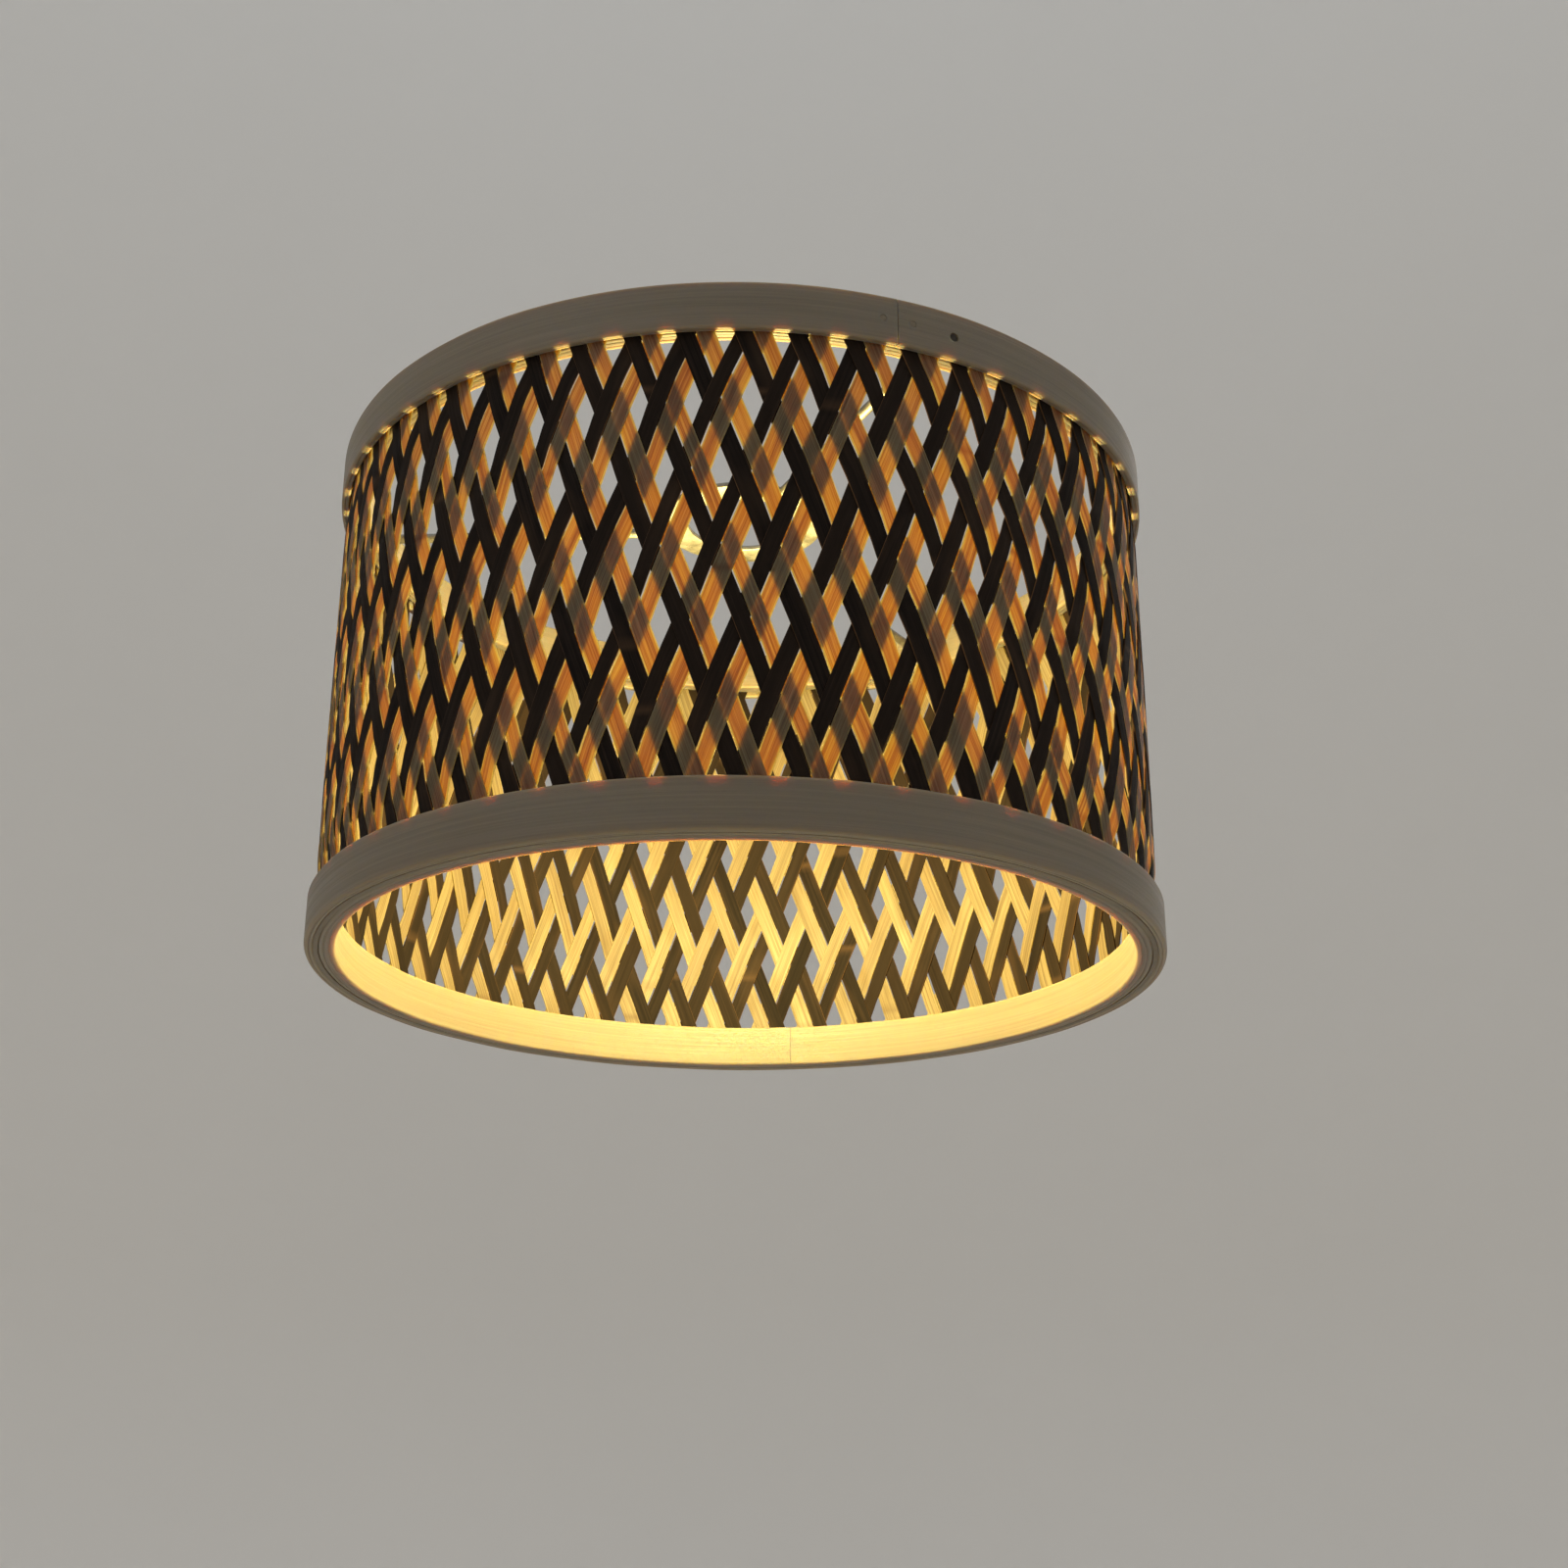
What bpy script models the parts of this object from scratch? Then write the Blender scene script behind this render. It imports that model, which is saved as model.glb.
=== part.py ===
"""A round drum lamp shade of woven split bamboo.

Two bent bamboo hoops at each rim clamp the woven wall between them, and a wire fitter with three
arms hangs inside the top rim. The lampholder passes up through the fitter's ring.

Metres, +Z up. The origin is the centre of the bottom rim, so the shade stands on z = 0.
Azimuths are measured round +Z from +X, and the front of the shade faces -Y.
"""

from math import cos, pi, radians, sin, tau

import bmesh
import bpy
from mathutils import Matrix

# Overall size
SHADE_RADIUS = 0.150
SHADE_HEIGHT = 0.186
WALL_THICKNESS = 0.0105

# Hoops: bent bamboo bands, an outer and an inner one at each rim
OUTER_HOOP_HEIGHT = 0.0173
OUTER_HOOP_THICKNESS = 0.0030
INNER_HOOP_HEIGHT = 0.0160
HOOP_EDGE_ROUNDING = 0.0008
SEAM_WIDTH = 0.0003
HOOP_SEGMENTS = 72

# Woven wall: it runs from rim to rim, and bows outward a little between the hoops
WEAVE_THICKNESS = 0.0012
WEAVE_BOW = 0.0013
WEAVE_END_INSET = 0.0006
WEAVE_BOW_POINTS = 5

# Fitter: a flat ring on three straight wires, each welded to a foot that is nailed to the hoops
RING_HOLE_RADIUS = 0.0205
RING_RADIUS = 0.0310
RING_THICKNESS = 0.0020
RING_EDGE_ROUNDING = 0.0004
RING_SEGMENTS = 48
ARM_RADIUS = 0.0018
ARM_HEIGHT = 0.175
ARM_START_RADIUS = 0.0242
ARM_AZIMUTHS = (radians(-63.6), radians(56.4), radians(176.4))
FOOT_DEPTH = 0.0015
FOOT_WIDTH = 0.0130
FOOT_HEIGHT = 0.0075
FOOT_EDGE_ROUNDING = 0.0004
FOOT_TURN = radians(1.4)
FOOT_FACE_DISTANCE = 0.1389

# Nails and brads, all driven in along a radius with their heads sunk just below the surface
NAIL_TURN = radians(2.0)
NAIL_HEIGHT = 0.1767
NAIL_SHANK_RADIUS = 0.0008
NAIL_HEAD_RADIUS = 0.0014
NAIL_HEAD_THICKNESS = 0.0005
BRAD_TURN = radians(2.0)
BRAD_SHANK_RADIUS = 0.0006
BRAD_HEAD_RADIUS = 0.0010
BRAD_HEAD_THICKNESS = 0.0004
BRAD_LENGTH = 0.0080
HEAD_SINK = 0.0002
HEAD_POCKET_DEPTH = 0.0010
NAIL_SIDES = 12

# Pieces that touch on the real shade are modelled this far apart
GAP = 0.0003

# Seams, where the two ends of each bent band meet
TOP_OUTER_SEAM = radians(-69.5)
TOP_INNER_SEAM = radians(21.0)
BOTTOM_OUTER_SEAM = radians(112.0)
BOTTOM_INNER_SEAM = radians(82.0)

# Worked out from the sizes above
INNER_FACE_RADIUS = SHADE_RADIUS - WALL_THICKNESS
WEAVE_OUTER_RADIUS = SHADE_RADIUS - OUTER_HOOP_THICKNESS - GAP
WEAVE_INNER_RADIUS = WEAVE_OUTER_RADIUS - WEAVE_THICKNESS
INNER_HOOP_OUTER_RADIUS = WEAVE_INNER_RADIUS - GAP
# The flats between a hoop's segments lie this far inside its nominal radius
FLAT_SAG = SHADE_RADIUS * (1 - cos(pi / HOOP_SEGMENTS))
HEAD_RADIUS_FROM_AXIS = SHADE_RADIUS - FLAT_SAG - HEAD_SINK

NATURAL_BAMBOO = ("natural_bamboo", (0.33, 0.22, 0.12), 0.5, 0.0)
DYED_BAMBOO = ("dyed_bamboo", (0.05, 0.033, 0.022), 0.5, 0.0)
ZINC_PLATED_STEEL = ("zinc_plated_steel", (0.50, 0.47, 0.40), 0.35, 1.0)
BLUED_STEEL = ("blued_steel", (0.05, 0.045, 0.04), 0.45, 1.0)


def clear_scene():
    for obj in list(bpy.data.objects):
        bpy.data.objects.remove(obj)


def new_collection(name):
    collection = bpy.data.collections.new(name)
    bpy.context.scene.collection.children.link(collection)
    return collection


def finish(name, colour, roughness, metallic):
    material = bpy.data.materials.new(name)
    material.use_nodes = True
    shader = material.node_tree.nodes["Principled BSDF"]
    shader.inputs["Base Color"].default_value = (*colour, 1.0)
    shader.inputs["Roughness"].default_value = roughness
    shader.inputs["Metallic"].default_value = metallic
    return material


def add_mesh(name, mesh, collection, material=None):
    obj = bpy.data.objects.new(name, mesh)
    if material:
        mesh.materials.append(material)
    collection.objects.link(obj)
    return obj


def add_turned(name, outline, segments, collection, material=None, closed=True):
    """Turns an outline of (radius, height) points round Z. It runs down its outer side first.

    A closed outline makes a ring. An open one starts and ends on the axis.
    """
    mesh = bpy.data.meshes.new(name)
    points = [(radius, 0.0, height) for radius, height in outline]
    edges = [(i, i + 1) for i in range(len(points) - 1)]
    if closed:
        edges.append((len(points) - 1, 0))
    mesh.from_pydata(points, edges, [])
    obj = add_mesh(name, mesh, collection, material)
    screw = obj.modifiers.new("Turn", "SCREW")
    screw.angle = tau
    screw.steps = segments
    screw.render_steps = segments
    screw.use_merge_vertices = True
    screw.merge_threshold = 0.00001
    screw.use_smooth_shade = True
    return obj


def round_edges(obj, width, segments):
    bevel = obj.modifiers.new("Rounded edges", "BEVEL")
    bevel.width = width
    bevel.segments = segments
    bevel.limit_method = "ANGLE"
    bevel.angle_limit = radians(40)
    return bevel


def cut(obj, cutter):
    boolean = obj.modifiers.new("Cut by " + cutter.name, "BOOLEAN")
    boolean.operation = "DIFFERENCE"
    boolean.object = cutter


def make_helper(obj):
    obj.hide_render = True
    obj.display_type = "WIRE"
    return obj


def band_outline(inner, outer, bottom, top):
    return [(outer, top), (outer, bottom), (inner, bottom), (inner, top)]


def add_hoop(name, inner, outer, bottom, top, collection, material):
    obj = add_turned(name, band_outline(inner, outer, bottom, top), HOOP_SEGMENTS, collection, material)
    round_edges(obj, HOOP_EDGE_ROUNDING, 2)
    return obj


def add_hoops(collection, material):
    """The four hoops, outer ones first. Each pair is flush at its rim."""
    top_of_outer = SHADE_HEIGHT - OUTER_HOOP_HEIGHT
    top_of_inner = SHADE_HEIGHT - INNER_HOOP_HEIGHT
    outer_inside = SHADE_RADIUS - OUTER_HOOP_THICKNESS
    hoops = {}
    for name, inner, outer, bottom, top in (
        ("top_outer_hoop", outer_inside, SHADE_RADIUS, top_of_outer, SHADE_HEIGHT),
        ("top_inner_hoop", INNER_FACE_RADIUS, INNER_HOOP_OUTER_RADIUS, top_of_inner, SHADE_HEIGHT),
        ("bottom_outer_hoop", outer_inside, SHADE_RADIUS, 0.0, OUTER_HOOP_HEIGHT),
        ("bottom_inner_hoop", INNER_FACE_RADIUS, INNER_HOOP_OUTER_RADIUS, 0.0, INNER_HOOP_HEIGHT),
    ):
        hoops[name] = add_hoop(name, inner, outer, bottom, top, collection, material)
    return hoops


def add_seam_cutter(azimuth, height, cutters):
    """A thin upright blade through one side of the shade, at a hoop's seam."""
    mesh = bpy.data.meshes.new("seam_cutter")
    blade = bmesh.new()
    bmesh.ops.create_cube(blade, size=1.0)
    size = (3 * WALL_THICKNESS, SEAM_WIDTH, 3 * OUTER_HOOP_HEIGHT)
    bmesh.ops.transform(blade, matrix=Matrix.Diagonal((*size, 1.0)), verts=blade.verts)
    blade.to_mesh(mesh)
    blade.free()
    obj = make_helper(add_mesh("seam_cutter", mesh, cutters))
    middle = SHADE_RADIUS - WALL_THICKNESS / 2
    obj.location = (middle * cos(azimuth), middle * sin(azimuth), height)
    obj.rotation_euler = (0, 0, azimuth)
    return obj


def add_seams(hoops, cutters):
    for name, azimuth in (
        ("top_outer_hoop", TOP_OUTER_SEAM),
        ("top_inner_hoop", TOP_INNER_SEAM),
        ("bottom_outer_hoop", BOTTOM_OUTER_SEAM),
        ("bottom_inner_hoop", BOTTOM_INNER_SEAM),
    ):
        height = SHADE_HEIGHT if name.startswith("top") else 0.0
        cut(hoops[name], add_seam_cutter(azimuth, height, cutters))


def weave_outline():
    """The wall's outline: straight where the hoops clamp it, bowed outward between them."""
    low = OUTER_HOOP_HEIGHT + HOOP_EDGE_ROUNDING
    high = SHADE_HEIGHT - low
    bow = []
    for i in range(WEAVE_BOW_POINTS + 1):
        share = i / WEAVE_BOW_POINTS
        bow.append((WEAVE_BOW * sin(pi * share), low + (high - low) * share))
    ends = [(0.0, WEAVE_END_INSET), (0.0, SHADE_HEIGHT - WEAVE_END_INSET)]
    upward = [ends[0], *bow, ends[1]]
    outer = [(WEAVE_OUTER_RADIUS + offset, height) for offset, height in reversed(upward)]
    inner = [(WEAVE_INNER_RADIUS + offset, height) for offset, height in upward]
    return outer + inner


def place_on_radius(obj, azimuth, distance, height):
    """Puts an object's origin on the wall with its own +Z pointing straight out from the axis."""
    obj.location = (distance * cos(azimuth), distance * sin(azimuth), height)
    obj.rotation_euler = (0, pi / 2, azimuth)
    return obj


def add_pin_cutter(azimuth, height, shank_radius, head_radius, length, cutters):
    """The clearance hole of a nail or brad: a shank hole of this length and a pocket for its head."""
    pocket = -HEAD_POCKET_DEPTH
    outline = [
        (0.0, HEAD_POCKET_DEPTH),
        (head_radius + GAP, HEAD_POCKET_DEPTH),
        (head_radius + GAP, pocket),
        (shank_radius + GAP, pocket),
        (shank_radius + GAP, -length),
        (0.0, -length),
    ]
    obj = add_turned("pin_cutter", outline, NAIL_SIDES, cutters, closed=False)
    return place_on_radius(make_helper(obj), azimuth, SHADE_RADIUS, height)


def add_arm_nails(hoops, weave, feet, collection, cutters, material):
    """One nail for each arm, through the whole rim and the arm's foot, and clinched inside."""
    foot_inside = FOOT_FACE_DISTANCE - FOOT_DEPTH
    clinch_outside = foot_inside - GAP - HEAD_RADIUS_FROM_AXIS
    clinch_inside = clinch_outside - NAIL_HEAD_THICKNESS
    outline = [
        (0.0, 0.0),
        (NAIL_HEAD_RADIUS, 0.0),
        (NAIL_HEAD_RADIUS, -NAIL_HEAD_THICKNESS),
        (NAIL_SHANK_RADIUS, -NAIL_HEAD_THICKNESS),
        (NAIL_SHANK_RADIUS, clinch_outside),
        (NAIL_HEAD_RADIUS, clinch_outside),
        (NAIL_HEAD_RADIUS, clinch_inside),
        (0.0, clinch_inside),
    ]
    for number, (arm_azimuth, foot) in enumerate(zip(ARM_AZIMUTHS, feet), start=1):
        azimuth = arm_azimuth + NAIL_TURN
        nail = add_turned(f"arm_nail_{number}", outline, NAIL_SIDES, collection, material, closed=False)
        place_on_radius(nail, azimuth, HEAD_RADIUS_FROM_AXIS, NAIL_HEIGHT)
        cutter = add_pin_cutter(
            azimuth, NAIL_HEIGHT, NAIL_SHANK_RADIUS, NAIL_HEAD_RADIUS, 2 * WALL_THICKNESS, cutters
        )
        for obj in (hoops["top_outer_hoop"], weave, hoops["top_inner_hoop"], foot):
            cut(obj, cutter)


def add_seam_brads(hoops, weave, collection, cutters, material):
    """Two brads at each outer seam, driven through the weave and part way into the inner hoop."""
    outline = [
        (0.0, 0.0),
        (BRAD_HEAD_RADIUS, 0.0),
        (BRAD_HEAD_RADIUS, -BRAD_HEAD_THICKNESS),
        (BRAD_SHANK_RADIUS, -BRAD_HEAD_THICKNESS),
        (BRAD_SHANK_RADIUS, -BRAD_LENGTH),
        (0.0, -BRAD_LENGTH),
    ]
    hole_length = BRAD_LENGTH + SHADE_RADIUS - HEAD_RADIUS_FROM_AXIS + GAP
    middle_of_hoop = OUTER_HOOP_HEIGHT / 2
    for rim, seam, height in (
        ("top", TOP_OUTER_SEAM, SHADE_HEIGHT - middle_of_hoop),
        ("bottom", BOTTOM_OUTER_SEAM, middle_of_hoop),
    ):
        for side, turn in (("left", -BRAD_TURN), ("right", BRAD_TURN)):
            name = f"{rim}_seam_brad_{side}"
            brad = add_turned(name, outline, NAIL_SIDES, collection, material, closed=False)
            place_on_radius(brad, seam + turn, HEAD_RADIUS_FROM_AXIS, height)
            cutter = add_pin_cutter(
                seam + turn, height, BRAD_SHANK_RADIUS, BRAD_HEAD_RADIUS, hole_length, cutters
            )
            for obj in (hoops[rim + "_outer_hoop"], weave, hoops[rim + "_inner_hoop"]):
                cut(obj, cutter)


def add_fitter_ring(collection, material):
    bottom = ARM_HEIGHT + ARM_RADIUS + GAP
    outline = band_outline(RING_HOLE_RADIUS, RING_RADIUS, bottom, bottom + RING_THICKNESS)
    ring = add_turned("fitter_ring", outline, RING_SEGMENTS, collection, material)
    round_edges(ring, RING_EDGE_ROUNDING, 1)


def add_fitter_arms(collection, material):
    """Three straight wires from under the ring out to the feet on the hoop."""
    end_radius = FOOT_FACE_DISTANCE - FOOT_DEPTH - GAP
    for number, azimuth in enumerate(ARM_AZIMUTHS, start=1):
        curve = bpy.data.curves.new(f"fitter_arm_{number}", "CURVE")
        curve.dimensions = "3D"
        curve.bevel_depth = ARM_RADIUS
        curve.bevel_resolution = 4
        curve.use_fill_caps = True
        spline = curve.splines.new("POLY")
        spline.points.add(1)
        spline.points[0].co = (ARM_START_RADIUS, 0.0, 0.0, 1.0)
        spline.points[1].co = (end_radius, 0.0, 0.0, 1.0)
        curve.materials.append(material)
        arm = bpy.data.objects.new(f"fitter_arm_{number}", curve)
        arm.location = (0.0, 0.0, ARM_HEIGHT)
        arm.rotation_euler = (0.0, 0.0, azimuth)
        collection.objects.link(arm)


def add_arm_feet(collection, material):
    """The flat pads at the arms' ends, which sit against the top inner hoop beside each nail."""
    feet = []
    distance = FOOT_FACE_DISTANCE - FOOT_DEPTH / 2
    for number, arm_azimuth in enumerate(ARM_AZIMUTHS, start=1):
        azimuth = arm_azimuth + FOOT_TURN
        mesh = bpy.data.meshes.new(f"arm_foot_{number}")
        pad = bmesh.new()
        bmesh.ops.create_cube(pad, size=1.0)
        size = (FOOT_DEPTH, FOOT_WIDTH, FOOT_HEIGHT)
        bmesh.ops.transform(pad, matrix=Matrix.Diagonal((*size, 1.0)), verts=pad.verts)
        pad.to_mesh(mesh)
        pad.free()
        foot = add_mesh(f"arm_foot_{number}", mesh, collection, material)
        foot.location = (distance * cos(azimuth), distance * sin(azimuth), NAIL_HEIGHT)
        foot.rotation_euler = (0.0, 0.0, azimuth)
        round_edges(foot, FOOT_EDGE_ROUNDING, 1)
        feet.append(foot)
    return feet


def main():
    clear_scene()
    parts = new_collection("woven_bamboo_lamp_shade")
    cutters = new_collection("cutters")
    natural = finish(*NATURAL_BAMBOO)
    dyed = finish(*DYED_BAMBOO)
    zinc = finish(*ZINC_PLATED_STEEL)
    blued = finish(*BLUED_STEEL)

    hoops = add_hoops(parts, natural)
    weave = add_turned("woven_bamboo_wall", weave_outline(), HOOP_SEGMENTS, parts, dyed)
    add_fitter_ring(parts, zinc)
    add_fitter_arms(parts, zinc)
    feet = add_arm_feet(parts, zinc)
    add_seams(hoops, cutters)
    add_arm_nails(hoops, weave, feet, parts, cutters, blued)
    add_seam_brads(hoops, weave, parts, cutters, blued)


main()
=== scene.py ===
"""A woven split-bamboo drum lamp shade: the looks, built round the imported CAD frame.

Metres, +Z up, with the front of the shade facing -Y. Azimuths are measured round +Z from +X.
"""

import random
from math import atan2, cos, pi, radians, sin, tau

import bmesh
import bpy
import numpy as np
from mathutils import Matrix, Vector


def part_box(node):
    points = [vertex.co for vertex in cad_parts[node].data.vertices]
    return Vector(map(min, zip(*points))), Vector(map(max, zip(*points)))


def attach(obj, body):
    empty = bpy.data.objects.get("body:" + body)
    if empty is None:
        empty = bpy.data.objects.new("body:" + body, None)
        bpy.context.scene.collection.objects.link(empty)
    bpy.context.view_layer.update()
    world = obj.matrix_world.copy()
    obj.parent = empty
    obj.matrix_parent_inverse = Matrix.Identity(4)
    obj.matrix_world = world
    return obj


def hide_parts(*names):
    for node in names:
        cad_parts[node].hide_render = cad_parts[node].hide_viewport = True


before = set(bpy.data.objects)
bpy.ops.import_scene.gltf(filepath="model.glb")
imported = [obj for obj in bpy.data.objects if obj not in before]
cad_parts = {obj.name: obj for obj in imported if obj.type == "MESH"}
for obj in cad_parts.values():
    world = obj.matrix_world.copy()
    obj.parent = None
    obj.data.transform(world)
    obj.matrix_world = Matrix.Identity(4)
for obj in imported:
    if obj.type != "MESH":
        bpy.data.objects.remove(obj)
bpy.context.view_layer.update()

# Sizes of the shade, in metres; the hoops clamp the strips 0.1 mm closer than the CAD hoops do
WEAVE_MIDDLE = 0.1461
WEAVE_BOW = 0.0013
WALL_INSIDE = 0.1395
INNER_HOOP_OUTSIDE = 0.1453
OUTER_HOOP_INSIDE = 0.1469
RING_HOLE = 0.0205
ARM_RADIUS = 0.0018
ARM_START = 0.0242
FOOT_DEPTH = 0.0015

# The weave: two sets of leaning bands, each band a dyed strip and a natural strip side by side
BANDS = 51
PITCH = tau / BANDS
ROW_HEIGHT = 0.0248
ROW_ZERO = 0.0932
LEAN = PITCH / 2 / ROW_HEIGHT
FRONT = -pi / 2
BAND_START = -0.0627
DYED_WIDTH = 0.0058
SLIT = 0.00036
NATURAL_WIDTH = 0.00594
STRIP_THICKNESS = 0.00054
STRIP_EDGE = 0.00012
LIFT = 0.00031
ROWS = 97
QUARTERS = 4
SPREAD = 0.10

rng = random.Random(20)
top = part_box("top_outer_hoop")
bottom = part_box("bottom_outer_hoop")
RADIUS = top[1].x
HEIGHT = top[1].z
CLAMP_LOW = bottom[1].z
CLAMP_HIGH = top[0].z


# ---------------------------------------------------------------- small helpers


def link(obj):
    bpy.context.scene.collection.objects.link(obj)
    return obj


def clamp01(x):
    return np.clip(x, 0.0, 1.0)


def smooth(x):
    x = clamp01(x)
    return x * x * (3 - 2 * x)


def mesh_object(name, points, faces, material):
    mesh = bpy.data.meshes.new(name)
    mesh.from_pydata([tuple(p) for p in points], [], faces)
    mesh.update()
    mesh.materials.append(material)
    return link(bpy.data.objects.new(name, mesh))


def store(mesh, name, kind, values, domain="POINT"):
    attribute = mesh.attributes.new(name, kind, domain)
    key = "vector" if kind == "FLOAT_VECTOR" else "value"
    attribute.data.foreach_set(key, np.asarray(values, np.float32).ravel())


def face_outward(obj):
    work = bmesh.new()
    work.from_mesh(obj.data)
    bmesh.ops.recalc_face_normals(work, faces=work.faces)
    work.to_mesh(obj.data)
    work.free()
    return obj


def shade(obj, degrees=35):
    mesh = obj.data
    mesh.polygons.foreach_set("use_smooth", [True] * len(mesh.polygons))
    mesh.set_sharp_from_angle(angle=radians(degrees))
    return obj


def swept_faces(rings, sides, closed):
    """Quads between neighbouring rings of points, with end caps on an open sweep."""
    faces = []
    last = rings if closed else rings - 1
    for i in range(last):
        a = i * sides
        b = ((i + 1) % rings) * sides
        for j in range(sides):
            k = (j + 1) % sides
            faces.append((a + j, b + j, b + k, a + k))
    if not closed:
        faces.append(tuple(range(sides)))
        faces.append(tuple(reversed(range((rings - 1) * sides, rings * sides))))
    return faces


def waves(seed, count, lowest, highest):
    """A smooth periodic random curve of the azimuth, from about -1 to 1."""
    r = random.Random(seed)
    terms = [(r.randint(lowest, highest), r.uniform(0, tau), r.uniform(0.4, 1.0)) for _ in range(count)]
    total = sum(t[2] for t in terms)

    def curve(azimuth):
        return sum(a * np.sin(n * azimuth + p) for n, p, a in terms) / total * 1.6

    return curve


# ---------------------------------------------------------------- materials


class Nodes:
    """A few shorthands for building a material's nodes."""

    def __init__(self, name):
        self.material = bpy.data.materials.new(name)
        self.material.use_nodes = True
        self.tree = self.material.node_tree
        self.shader = self.tree.nodes["Principled BSDF"]
        self.output = self.tree.nodes["Material Output"]

    def add(self, kind, **values):
        node = self.tree.nodes.new("ShaderNode" + kind)
        for key, value in values.items():
            setattr(node, key, value)
        return node

    def wire(self, source, target):
        self.tree.links.new(source, target)

    def put(self, socket, value):
        if isinstance(value, bpy.types.NodeSocket):
            self.wire(value, socket)
        else:
            socket.default_value = value

    def attribute(self, name):
        return self.add("Attribute", attribute_name=name)

    def maths(self, operation, a, b=None, clamp=False):
        node = self.add("Math", operation=operation, use_clamp=clamp)
        self.put(node.inputs[0], a)
        if b is not None:
            self.put(node.inputs[1], b)
        return node.outputs[0]

    def scaled(self, vector, factors):
        node = self.add("Mapping")
        self.wire(vector, node.inputs["Vector"])
        node.inputs["Scale"].default_value = factors
        return node.outputs["Vector"]

    def noise(self, vector, scale=1.0, detail=3.0, roughness=0.5):
        node = self.add("TexNoise")
        self.wire(vector, node.inputs["Vector"])
        node.inputs["Scale"].default_value = scale
        node.inputs["Detail"].default_value = detail
        node.inputs["Roughness"].default_value = roughness
        return node.outputs["Fac"]

    def ramp(self, factor, *stops):
        node = self.add("ValToRGB")
        self.wire(factor, node.inputs["Fac"])
        elements = node.color_ramp.elements
        while len(elements) < len(stops):
            elements.new(0.5)
        for element, (place, colour) in zip(elements, stops):
            element.position = place
            element.color = (*colour, 1.0)
        return node.outputs["Color"]

    def mixed(self, factor, a, b, blend="MIX"):
        node = self.add("Mix", data_type="RGBA", blend_type=blend)
        self.put(node.inputs["Factor"], factor)
        self.put(node.inputs["A"], a)
        self.put(node.inputs["B"], b)
        return node.outputs["Result"]

    def range(self, value, low, high, to_low, to_high):
        node = self.add("MapRange")
        self.wire(value, node.inputs["Value"])
        for key, number in zip(("From Min", "From Max", "To Min", "To Max"), (low, high, to_low, to_high)):
            node.inputs[key].default_value = number
        return node.outputs["Result"]

    def bump(self, height, strength, distance):
        node = self.add("Bump")
        self.wire(height, node.inputs["Height"])
        node.inputs["Strength"].default_value = strength
        node.inputs["Distance"].default_value = distance
        return node.outputs["Normal"]

    def set(self, **values):
        for key, value in values.items():
            self.put(self.shader.inputs[key.replace("_", " ")], value)


def rgb(r, g, b):
    return (r, g, b, 1.0)


def fibre_nodes(n):
    """Bamboo's own detail, from the fibre attribute: metres across, metres along, and a tone."""
    fibre = n.attribute("fibre").outputs["Vector"]
    parts = n.add("SeparateXYZ")
    n.wire(fibre, parts.inputs[0])
    coarse = n.noise(n.scaled(fibre, (900.0, 9.0, 40.0)), detail=4.0, roughness=0.6)
    fine = n.noise(n.scaled(fibre, (4200.0, 30.0, 70.0)), detail=3.0, roughness=0.55)
    blotch = n.noise(n.scaled(fibre, (120.0, 22.0, 90.0)), detail=2.0)
    return parts.outputs["Z"], coarse, fine, blotch


def pore_nodes(n):
    """The short dark pores that show where a thick band was shaved."""
    fibre = n.attribute("fibre").outputs["Vector"]
    return n.noise(n.scaled(fibre, (5200.0, 420.0, 11.0)), detail=2.0)


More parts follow.
